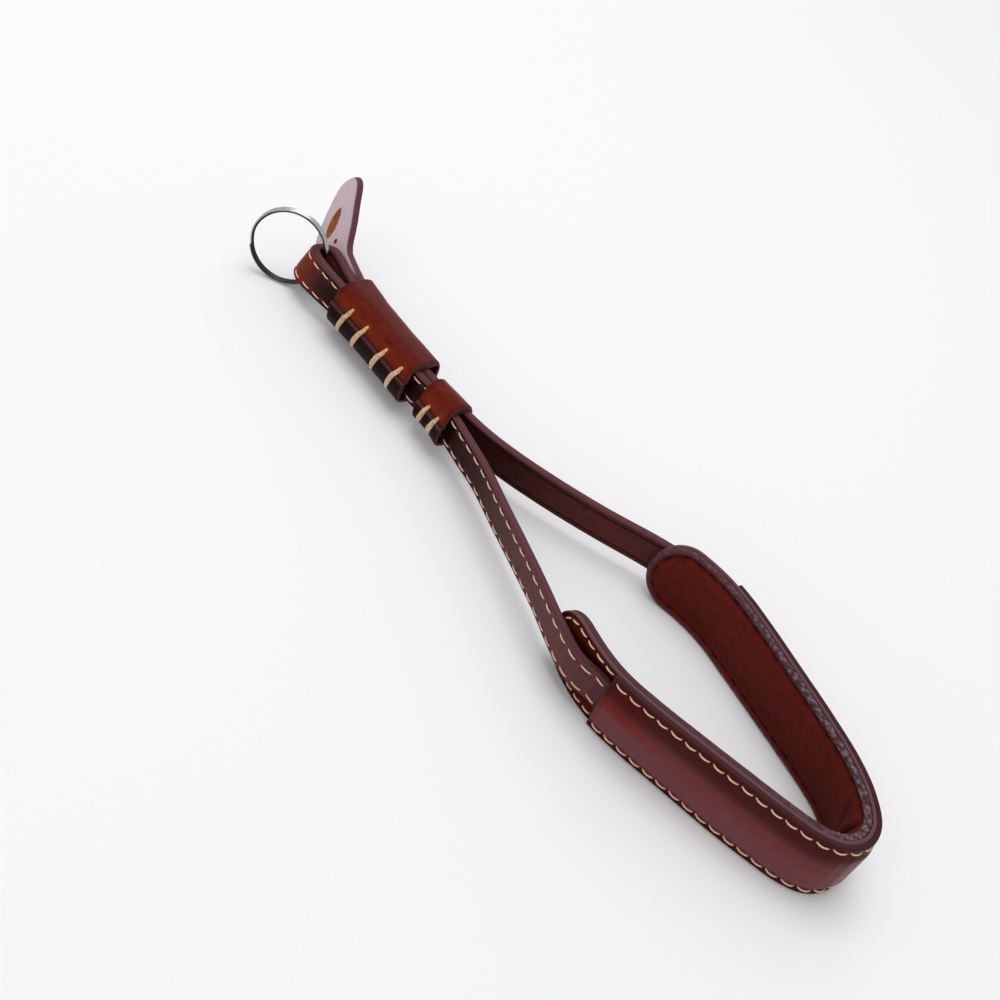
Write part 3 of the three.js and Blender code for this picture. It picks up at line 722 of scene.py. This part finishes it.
def makeCover():
    length = padRoute.length - pad["coverFrom"] - pad["coverShort"]
    stations, across = pad["coverFrom"] + length * (spread(640, 0.12) + 1) / 2, spread(61)
    outer, s, z = padGrid(stations, across, coverOuter)
    inner = padGrid(stations, across, coverUnder)[0]
    sheet = shell(outer, inner)
    piece = makeObject("cover_sheet", *sheet, "coverLeather", "cover_leather", ["pad_cover"])
    edge = coverEdge(s, z)
    fromCut = s - pad["coverFrom"]
    # Painted shade: a dark band under the upper stitches that fades along the cover, a dark strip along
    # the bottom, and darker near the edges.
    band = smooth(12.0, 17.2, z) * (1 - 0.92 * smooth(62, 122, fromCut)) + smooth(2.6, 1.4, z)
    paint(piece, "edge", smooth(0.5, 0.1, edge), rim=1.0)
    paint(piece, "paintedShade", np.clip(0.85 * band + 0.3 * bell(edge, 1.2), 0, 0.92))
    holes = holesAlong(s, *coverSeam, pad["stitchPitch"]) * bell(edge - pad["stitchInset"], 0.9)
    # A painted red glow near the cut end and a painted red stripe along the lower side of the shade
    # band; the stitch holes are redder.
    glow = 0.6 * bell(fromCut - 6, 9) * smooth(9, 14, z)
    stripe = 0.4 * bell(z - 12.0, 2.6) * (fromCut < 140)
    paint(piece, "warm", glow + stripe + 0.5 * holes)


def makeLiner():
    rows, shares, moves = simulateLining()
    stations, fine = padStations(0.52), spread(61)
    back, s, z = padGrid(stations, fine, linerBack, 0.3)
    front = padGrid(stations, fine, linerFront, 0.3)[0]
    edge = padEdge(s, z)
    front = front + blendGrid(rows, shares, moves, s, (z - midHeight) / np.maximum(padHalf(s), 0.3))
    swell = 0.25 + 0.75 * smooth(40, 120, fromPadEnd(s))
    puckers = wander(s, z * 0.7, 1.25, 3) * 0.6 + wander(s, z, 2.6, 4) * 0.5
    ox, oy = padRoute.plan(s)[2:]
    away = np.stack([ox, oy, 0 * ox], -1)
    relief = pad["puckerRelief"] * swell * puckers * bell(edge - 0.7, 0.9)
    front = front - away * (relief - foldDepth(s, z))[..., None]
    straightS = np.clip(s, pad["half"], padRoute.length - pad["half"])
    middle = padRoute.point(straightS, linerBack(straightS, z * 0 + midHeight), z * 0 + midHeight)
    acrossWay = unit(back - middle).reshape(-1, 3)
    ridges = (swell * puckers).ravel()

    def rimRelief(loop, share):  # the rim bulges, and puckers towards the bend
        hump = math.sin(math.pi * share)
        amount = 0.3 * hump ** 0.7 + 0.32 * ridges[loop] * hump - 0.12 * bell(share - 0.5, 0.12)
        return acrossWay[loop] * np.clip(amount, -0.2, 0.28)[:, None]

    points, faces = shell(back, front, rimSteps=8, rimRelief=rimRelief)
    piece = makeObject("liner_pad", points, faces, "linerLeather", "liner_leather", ["pad_liner"])
    paint(piece, "edge", smooth(1.35, 0.75, edge), rim=1.0)
    # Painted shade in the folds, along the stitch line and towards the bottom.
    inFold = 0.95 * np.clip(foldDepth(s, z), 0, 1)
    bySeam = 0.35 * bell(edge - pad["linerInset"], 0.35)
    low = 0.4 * smooth(13.0, 3.0, z) * smooth(2.0, 4.0, edge)
    paint(piece, "paintedShade", np.clip(bySeam + low + inFold, 0, 1))
    paint(piece, "warm", 0.9 * bell(edge - 1.45, 0.3) + 0.35 * bell(edge - 3.4, 1.2))


# At a half-round end, stitches follow an arc one inset inside the outline and then run on straight.
def endRuns(inset, pitch, share, straightTo, farEnd):
    radius = pad["half"] - inset
    arc, straight = math.pi * radius, straightTo - pad["half"]
    count = round((arc + 2 * straight) / pitch)
    step = (arc + 2 * straight) / count

    def spot(d):
        if d < straight:
            s, z = straightTo - d, midHeight - radius
        elif d < straight + arc:
            angle = (d - straight) / radius
            s, z = pad["half"] - radius * math.sin(angle), midHeight - radius * math.cos(angle)
        else:
            s, z = pad["half"] + d - straight - arc, midHeight + radius
        return (padRoute.length - s if farEnd else s), z

    middles = (np.arange(count) + 0.5) * step
    return [(*spot(m - step * share / 2), *spot(m + step * share / 2)) for m in middles]


def bothEnds(inset, pitch, share, firstTo, lastTo):
    return endRuns(inset, pitch, share, firstTo, False) + endRuns(inset, pitch, share, lastTo, True)


makeBase()
makeCover()
makeLiner()
coverThread = {"radius": 0.28, "flat": 0.85, "lift": 0.3, "bury": 0.34, "bow": -0.32, "late": 0.85,
               "twist": 2.0, "lobe": 0.12, "jitter": 0.06}
runs = edgeRuns(pad, coverSeam, 0.86, 0.2, 0.1)
stitches("cover_stitches", onPad(coverOuter), 1, runs, coverThread, "creamThread", "cover_leather")
runs = bothEnds(pad["stitchInset"], pad["endPitch"], 0.8, pad["coverFrom"] - 0.4,
                pad["coverShort"] - 0.4)
baseThread = dict(coverThread, bow=0.0)
stitches("base_stitches", onPad(baseOuter), 1, runs, baseThread, "creamThread", "base_leather")
linerThread = dict(coverThread, radius=0.3, flat=0.8, lift=0.16, bury=0.35, bow=0.0, jitter=0.1)
runs = bothEnds(pad["linerInset"], pad["linerPitch"], 0.6, padRoute.length / 2, padRoute.length / 2)
stitches("liner_stitches", onPad(linerFront), -1, runs, linerThread, "brownThread", "liner_leather")

print("strap")
strap = {"half": 5.5, "rounding": 0.5, "stitchInset": 1.6, "stitchPitch": 5.1, "rows": 1400,
         "across": 25}
# How far the near leg's outer face is painted dark as shade, and how far a painted glow lies on the
# fold round the ring.
strapShade = columns(("x", "amount"), [
    (-112, 0.0), (-107, 0.15), (-100, 0.75), (-90, 0.98), (-28, 0.98), (-8, 0.8), (14, 0.3), (34, 0.1),
    (56, 0.15),
])
strapGlow = columns(("x", "amount"), [(-114, 1.0), (-106, 0.8), (-99, 0.0)])


def strapRoute():
    first = pad["coverFrom"] - pad["leadIn"]
    last = padRoute.length - pad["coverShort"] + pad["leadIn"]
    s = np.linspace(first, last, 61)
    centre = padRoute.point(s, layerGap - sinkAt(s) + pad["strapThickness"] / 2, 0 * s + midHeight)
    inPad = {"x": centre[:, 0], "y": centre[:, 1], "lean": padRoute.column("lean", s),
             "thick": 0 * s + pad["strapThickness"]}
    rows = {name: np.concatenate([inPad[name], strapRows[name]]) for name in inPad}
    return Route(rows, closed=True)


strapWay = strapRoute()
coverEndOnStrap = padRoute.length - pad["coverShort"] - pad["coverFrom"] + 2 * pad["leadIn"]
strapSeam = coverEndOnStrap - pad["leadIn"] + 0.5, strapWay.length + pad["leadIn"] - 0.5
foldAt = strapWay.s[np.argmin(strapWay.xy[:, 0])]


def strapEdge(z):
    return strap["half"] - abs(z - midHeight)


def strapOuter(s, z):
    edge = strapEdge(z)
    holes = holesAlong(s, *strapSeam, strap["stitchPitch"])
    channel = (0.1 + 0.2 * holes) * bell(edge - strap["stitchInset"], 0.45)
    crown = 0.06 * (1 - (edge / strap["half"] - 1) ** 2)
    face = strapWay.column("thick", s) / 2 - 0.06 + crown - channel
    return face - edgeDrop(edge, strap["rounding"])


def strapInner(s, z):
    edge = strapEdge(z)
    groove = 0.2 * bell(edge - strap["stitchInset"], 0.3) - 0.06 * bell(edge - 0.9, 0.4)
    return -strapWay.column("thick", s) / 2 + groove + 0.06 + edgeDrop(edge, strap["rounding"])


def onStrap(face):
    return lambda s, z: strapWay.point(s, face(s, z), z)


def makeStrap():
    rows, across = strap["rows"], strap["across"]
    stations = np.linspace(0, strapWay.length, rows, endpoint=False)
    s = np.broadcast_to(stations[:, None], (rows, across))
    z = np.broadcast_to(midHeight + spread(across)[None, :] * strap["half"], s.shape)
    rise = np.sign(z - midHeight).ravel()

    def plyLine(loop, share):  # a fine groove where the two plies meet
        depth = 0.06 - 0.2 * math.exp(-((share - 0.5) / 0.08) ** 2)
        return np.outer(rise[loop] * depth, (0.0, 0.0, 1.0))

    points, faces = shell(onStrap(strapOuter)(s, z), onStrap(strapInner)(s, z), True, 8, plyLine)
    piece = makeObject("strap_band", points, faces, "strapLeather", "strap_leather", ["strap"])
    edge = strapEdge(z)
    x = strapWay.plan(s)[0]
    nearSide = s > foldAt
    # Painted shade on the outer face: the near leg as its table says, the far leg a little, darker near
    # the edges.
    dark = np.interp(x, *strapShade.values())
    holes = holesAlong(s, *strapSeam, strap["stitchPitch"]) * bell(edge - strap["stitchInset"], 0.9)
    outerShade = np.where(nearSide, dark, 0.3) + 0.25 * bell(edge - 1.0, 0.5)
    # The inner face gets painted shade all over, most along its seam and near x = -15.
    innerShade = 0.42 + 0.5 * bell(edge - strap["stitchInset"], 0.3) + 0.35 * bell(x + 15, 22)
    # A painted glow on the fold round the ring; the stitch holes are redder.
    glow = np.interp(x, *strapGlow.values()) * nearSide
    paint(piece, "edge", smooth(0.6, 0.15, edge), rim=1.0)
    paint(piece, "paintedShade", np.clip(outerShade - 0.6 * holes, 0, 1), np.clip(innerShade, 0, 1))
    paint(piece, "warm", np.clip(glow + 0.5 * holes, 0, 1), 0 * s + 0.32)


makeStrap()
strapThread = dict(coverThread, radius=0.26, lift=0.24, bury=0.3, bow=0.0)
backThread = dict(strapThread, radius=0.19, lift=0.02, bury=0.3)
backSeam = coverEndOnStrap + 6.0, strapWay.length - 14.0
runs = edgeRuns(strap, strapSeam, 0.7, 0.16, 0.16)
stitches("strap_stitches", onStrap(strapOuter), 1, runs, strapThread, "creamThread", "strap_leather")
runs = edgeRuns(strap, backSeam, 0.5)
stitches("strap_back_stitches", onStrap(strapInner), -1, runs, backThread, "brownThread",
         "strap_leather")

print("keepers")


# The middle line of a keeper's wall, from above the seam over the top, down the far side and back.
def keeperLine(near, far, seam, count=181):
    half, r = keeper["wall"] / 2, keeper["corner"]
    reach = strap["half"] + layerGap + half
    low, high = midHeight - reach, midHeight + reach
    left, right, lip = near - half, far + half, near - half - keeper["lip"]
    line = [(left, seam - 0.2)]
    corners = (left + r, high - r), (right - r, high - r), (right - r, low + r), (lip + r, low + r)
    for (cy, cz), start in zip(corners, (180, 90, 0, -90)):
        turn = np.radians(np.linspace(start, start - 90, 13))
        line += zip(cy + r * np.cos(turn), cz + r * np.sin(turn))
    line = np.array(line + [(lip, seam)])
    s = distances(line)
    even = np.linspace(0, s[-1], count)
    fine = np.stack([np.interp(even, s, line[:, 0]), np.interp(even, s, line[:, 1])], 1)
    along = unit(np.gradient(fine, axis=0))
    out = np.stack([-along[:, 1], along[:, 0]], 1)
    turning = np.linalg.norm(np.gradient(out, even, axis=0), axis=1) * r
    window = np.hanning(27)
    across = np.clip((fine[:, 0] - (left + right) / 2) / ((right - left) / 2), -1, 1)
    crown = keeper["crown"] * np.clip(out[:, 1], 0, 1) * (1 - across ** 2)
    softened = np.convolve(turning, window / window.sum(), "same")
    return fine, out, s[-1], crown - keeper["softCorner"] * softened


class KeeperWall:
    def __init__(self, shape):
        rows = shape["rows"]
        self.x = np.linspace(rows["x"][0], rows["x"][-1], 61)
        near, far = (np.interp(self.x, rows["x"], rows[k]) for k in ("near", "far"))
        made = [keeperLine(a, b, shape["seam"]) for a, b in zip(near, far)]
        self.length = made[0][2]
        # Each place in the grid holds y and z of the middle line, the outward way, and the swelling.
        self.grid = np.stack([np.concatenate([m[0], m[1], m[3][:, None]], 1) for m in made])
        self.share = np.linspace(0, 1, self.grid.shape[1])

    def point(self, x, share, out):
        row = blendGrid(self.x, self.share, self.grid, x, share)
        swell = row[..., 4] * (np.asarray(out) > 0)
        yz = row[..., :2] + row[..., 2:4] * (out + swell)[..., None]
        return np.concatenate([np.asarray(x)[..., None] + 0 * yz[..., :1], yz], -1)


def makeKeeper(name, shape, node):
    wall = KeeperWall(shape)
    first, last = wall.x[0], wall.x[-1]
    x = (first + last) / 2 + (last - first) / 2 * spread(81)
    x, share = np.meshgrid(x, (spread(161, 0.25) + 1) / 2, indexing="ij")
    travelled = share * wall.length
    ends = np.minimum(x - first, last - x)
    edge = np.minimum(ends, np.minimum(travelled, wall.length - travelled))
    half = keeper["wall"] / 2
    wave = keeper["wave"] * wander(x, travelled, keeper["waveLength"], 3) * smooth(0, 2.5, edge)
    dimples = 0 * x
    holes = (1, shape["above"] + 0.2), (-1, wall.length - shape["below"] - 0.1)
    for lace in shape["laces"]:
        for side, holeAt in holes:
            holeX = lace + side * shape["slant"] / 2
            dimples += bell(np.hypot(x - holeX, travelled - holeAt), 1.0)
    fromSeam = np.minimum(travelled, wall.length - travelled)
    drop = np.maximum(edgeDrop(ends, keeper["rounding"]), edgeDrop(fromSeam, keeper["seamRounding"]))
    outer = wall.point(x, share, half + wave - keeper["dimple"] * dimples - drop)
    inner = wall.point(x, share, -half + edgeDrop(edge, 0.3))
    piece = makeObject(name, *shell(outer, inner), "keeperLeather", "keeper_leather", [node])
    # Painted shade: the lower flap dark all over, darker near the cut ends and over the far side of the
    # top, lighter at the lace holes.
    under = smooth(wall.length - shape["below"] - 7, wall.length - 5.5, travelled)
    paintedShade = under + (0.45 * bell(ends, 1.6) + 0.3 * smooth(15.0, 18.5, travelled)) * (1 - under)
    # A painted sheen along the top, mixed in through the edge colour.
    paintedSheen = keeper["paintedSheen"] * bell(travelled - keeper["paintedSheenAt"], keeper["paintedSheenWidth"])
    lipEdge = np.maximum(smooth(0.5, 0.1, edge), 0.9 * bell(wall.length - travelled, 0.5))
    paint(piece, "edge", np.maximum(lipEdge, paintedSheen), rim=1.0)
    paint(piece, "paintedShade", np.clip(paintedShade - 0.5 * np.minimum(dimples, 1), 0, 1))
    warm = np.clip(0.5 * bell(travelled - 3.2, 1.8) + 0.7 * dimples, 0, 1)
    paint(piece, "warm", warm * (1 - under))
    return wall


laceLook = {"radius": 0.88, "flat": 0.5, "lift": 0.3, "bury": 0.9}


# A lace crosses the seam: out of a hole above it, down over the lip, and in below.
def makeLaces(name, wall, shape):
    steps, sides = 29, 16
    t = np.linspace(0, 1, steps)
    hump = np.sin(math.pi * t)
    around = circle(sides)
    half = keeper["wall"] / 2
    travelled = (shape["above"] + shape["below"]) * t
    over = travelled > shape["above"]
    fromSeam = abs(travelled - shape["above"]) / wall.length
    share = np.where(over, 1 - fromSeam, fromSeam)
    step = smooth(shape["above"] - 1.6, shape["above"] + 0.4, travelled)
    paths = []
    for number, middle in enumerate(shape["laces"]):
        x = middle + shape["slant"] * (0.5 - t) + 0.12 * np.sin(5 * t + number)
        centre = wall.point(x, share, np.zeros(steps) + half)
        centre[:, 1] += keeper["lip"] * np.where(over, 1 - step, -step)
        normal = unit(np.cross((1.0, 0.0, 0.0), np.gradient(centre, axis=0)))
        normal *= np.sign(-normal[:, 1:2] + 1e-9)
        rise = laceLook["lift"] * hump ** 0.4 - laceLook["bury"] * (1 - hump ** 0.3)
        fibres = 1 + 0.11 * np.cos(5 * around[None, :] + 4.0 * t[:, None] + number)
        section = laceLook["radius"] * fibres * (0.45 + 0.55 * hump ** 0.6)[:, None]
        paths.append((centre + normal * rise[:, None], normal, section, section * laceLook["flat"]))
    tubes(name, paths, "laceCord", "keeper_leather")


largeWall = makeKeeper("keeper_large_wall", largeKeeper, "keeper_large")
makeLaces("large_keeper_laces", largeWall, largeKeeper)
smallWall = makeKeeper("keeper_small_wall", smallKeeper, "keeper_small")
makeLaces("small_keeper_laces", smallWall, smallKeeper)

print("guard tab")
tab = {"thickness": 3.0, "rounding": 1.2, "tipRadius": 4.2, "sway": 0.08, "paleFrom": 38.0,
       "paleTo": 46.0,
       "slot": {"x": -118.6, "z": 17.2, "length": 11.6, "width": 4.2, "tilt": 15.0},
       "hole": {"x": -112.6, "z": 14.8, "length": 1.9, "width": 1.5, "tilt": 0.0}}
tabRoute = Route(tabRows)


def tabHeights(s):
    soften = np.linspace(-1.8, 1.8, 9)
    return [np.mean([tabRoute.column(k, s + d) for d in soften], axis=0) for k in ("low", "high")]


def cutterFor(cut):
    s = tabRoute.s[np.argmin(abs(tabRoute.xy[:, 0] - cut["x"]))]
    centre = Vector(tabRoute.point(s, 0.0, cut["z"]))
    lean, (ox, oy) = float(tabRoute.column("lean", s)), tabRoute.plan(s)[2:]
    rise = Vector((ox * lean, oy * lean, 1)).normalized()
    along = Vector((oy, -ox, 0)).normalized()
    through = along.cross(rise)
    tilt = math.radians(cut["tilt"])
    cosTilt, sinTilt = math.cos(tilt), math.sin(tilt)
    outline = []
    for k in range(36):  # a lens, blunt at both ends
        a = 2 * math.pi * k / 36
        u = cut["width"] / 2 * math.copysign(abs(math.cos(a)) ** 1.3, math.cos(a))
        v = cut["length"] / 2 * math.sin(a)
        outline.append((u * cosTilt - v * sinTilt, u * sinTilt + v * cosTilt))
    points = []
    for depth in (-6.0, 6.0):
        points += [list(centre + along * u + rise * v + through * depth) for u, v in outline]
    count = len(outline)
    faces = [[i, (i + 1) % count, count + (i + 1) % count, count + i] for i in range(count)]
    faces += [list(range(count))[::-1], list(range(count, 2 * count))]
    return makeObject("cutter", points, faces, "rawCut", None)


def makeTab():
    end = tabRoute.length
    ends = end - tab["tipRadius"] * (1 - np.cos(np.linspace(math.pi / 2, 0.04, 24)))
    stations = np.concatenate([np.linspace(0, ends[0], 120)[:-1], ends])
    low, high = tabHeights(stations)
    fromTip = np.clip((end - stations) / tab["tipRadius"], 0, 1)
    half = (high - low) / 2 * np.sqrt(np.clip(1 - (1 - fromTip) ** 2, 0.0004, 1))
    middle = (low + high) / 2
    z = middle[:, None] + half[:, None] * spread(57)[None, :]
    s = np.broadcast_to(stations[:, None], z.shape)
    outline = np.concatenate([np.stack([stations, middle + k * half], 1) for k in (-1, 1)])
    gaps = np.stack([s, z], -1)[:, :, None, :] - outline[None, None]
    edge = np.minimum(np.sqrt((gaps ** 2).sum(-1)).min(-1), s)
    edge[:, 0] = edge[:, -1] = 0
    thick = tab["thickness"] / 2
    sway = tab["sway"] * wander(s, z, 9.0, 8) * smooth(0, 3, edge)
    outer = tabRoute.point(s, thick + sway - edgeDrop(edge, tab["rounding"]), z)
    inner = tabRoute.point(s, -thick + sway + edgeDrop(edge, tab["rounding"]), z)
    piece = makeObject("tab_leather", *shell(outer, inner), "tabLeather", "tab_leather", ["guard_tab"])
    paint(piece, "edge", smooth(0.55, 0.15, edge), rim=1.0)
    # Painted shade towards the edges, on both faces.
    paint(piece, "paintedShade", 0.3 * bell(edge, 1.2), 0.12 * bell(edge, 1.0))
    paint(piece, "warm", 0 * s, 0.92 * smooth(tab["paleFrom"], tab["paleTo"], s))
    for cut in (tab["slot"], tab["hole"]):
        cutter = cutterFor(cut)
        boolean = piece.modifiers.new("cut", "BOOLEAN")
        boolean.operation, boolean.solver, boolean.object = "DIFFERENCE", "EXACT", cutter
        boolean.material_mode = "TRANSFER"
        bpy.context.view_layer.update()
        depsgraph = bpy.context.evaluated_depsgraph_get()
        cutMesh = bpy.data.meshes.new_from_object(
            piece.evaluated_get(depsgraph), preserve_all_data_layers=True, depsgraph=depsgraph)
        piece.modifiers.clear()
        piece.data = cutMesh
        bpy.data.objects.remove(cutter)
    piece.data.set_sharp_from_angle(angle=math.radians(42))


makeTab()

print("split ring")
ring = {"outer": 13.1, "wire": 0.62, "pitch": 1.42, "heading": 35.3, "tilt": 7.5, "step": 40.0,
        "cutGap": 3.0, "start": 200.0, "eye": (-107.7, 13.8), "reach": 11.0, "sides": 20, "shade": 0.96}


def makeRing():
    heading, tilt = math.radians(ring["heading"]), math.radians(ring["tilt"])
    out = np.array([math.cos(heading), math.sin(heading), 0])
    up = np.array([-out[1], out[0], 0]) * math.sin(tilt) + np.array([0, 0, math.cos(tilt)])
    axis = np.cross(up, out)
    centre = np.array([*ring["eye"], 0]) - out * ring["reach"]
    centre[2] = ring["outer"] * up[2] + ring["pitch"] * abs(axis[2]) / 2
    radius = ring["outer"] - ring["wire"]
    step, cutGap = math.radians(ring["step"]), math.radians(ring["cutGap"])
    total = 4 * math.pi - step - 2 * cutGap
    turn = np.linspace(0, total, 420)
    rise = smooth(2 * math.pi - step - cutGap, 2 * math.pi - cutGap, turn) - 0.5
    angle = math.radians(ring["start"]) + turn
    radial = out * np.cos(angle)[:, None] + up * np.sin(angle)[:, None]
    path = centre + radial * radius + axis * (rise * ring["pitch"])[:, None]
    wire = ring["wire"] - edgeDrop(np.minimum(turn, total - turn) * radius, 0.25)
    section = np.repeat(wire[:, None], ring["sides"], axis=1)
    coil = path, radial, section, section
    piece = tubes("ring_wire", [coil], "ringSteel", "ring_steel", ["split_ring"])
    inwards = -np.sin(circle(ring["sides"]))
    paintPoints(piece, "shade", np.tile(ring["shade"] * smooth(-0.6, 0.0, inwards), len(path)))


makeRing()

print("floor, light and camera")
studio = {"floorReach": 30.0, "world": (0.97, 0.97, 1.0), "worldStrength": 0.62, "azimuth": 28.0,
          "elevation": 39.41, "roll": 28.06, "distance": 407.29, "lens": 50.12}
# Square panels, in metres, that face the strap.
lights = {
    "overhead": {"place": (-0.3, 0.1, 1.35), "size": 1.0, "radiance": 2.7},
    "backPanel": {"place": (-0.75, 1.35, 1.0), "size": 1.5, "radiance": 0.6},
    "frontFill": {"place": (0.25, -1.3, 0.9), "size": 1.2, "radiance": 0.8},
}


def makeFloor():
    corners = np.array([(-1, -1, 0), (1, -1, 0), (1, 1, 0), (-1, 1, 0)]) * studio["floorReach"] / mm
    makeObject("floor", corners - rowShift, [(0, 1, 2, 3)], "floorPaper", None)


def makeLight(name, place, size, radiance):
    data = bpy.data.lights.new(name, "AREA")
    data.shape, data.size, data.energy = "SQUARE", size, radiance * math.pi * size ** 2
    light = addObject(name, data)
    light.location = place
    light.rotation_mode = "QUATERNION"
    light.rotation_quaternion = (-Vector(place)).to_track_quat("-Z", "Y")


def makeWorld():
    world = bpy.data.worlds.new("studio")
    world.use_nodes = True
    background = world.node_tree.nodes["Background"]
    background.inputs[0].default_value = (*studio["world"], 1)
    background.inputs[1].default_value = studio["worldStrength"]
    bpy.context.scene.world = world


def makeCamera():
    azimuth, elevation, roll = (math.radians(studio[k]) for k in ("azimuth", "elevation", "roll"))
    flat = math.cos(elevation)
    back = Vector((math.sin(azimuth) * flat, -math.cos(azimuth) * flat, math.sin(elevation)))
    level = Vector((math.cos(azimuth), math.sin(azimuth), 0))
    right = level * math.cos(roll) + back.cross(level) * math.sin(roll)
    target = Vector((rowShift[0], rowShift[1], midHeight)) * mm
    data = bpy.data.cameras.new("camera")
    data.lens, data.sensor_width = studio["lens"], 36.0
    camera = addObject("camera", data)
    axes = Matrix((right, back.cross(right), back)).transposed()
    camera.matrix_world = Matrix.Translation(target + back * studio["distance"] * mm) @ axes.to_4x4()
    bpy.context.scene.camera = camera


makeFloor()
makeWorld()
for name, light in lights.items():
    makeLight(name, **light)
makeCamera()
bpy.context.scene.view_settings.view_transform = "Standard"

bpy.context.view_layer.update()
print("done")
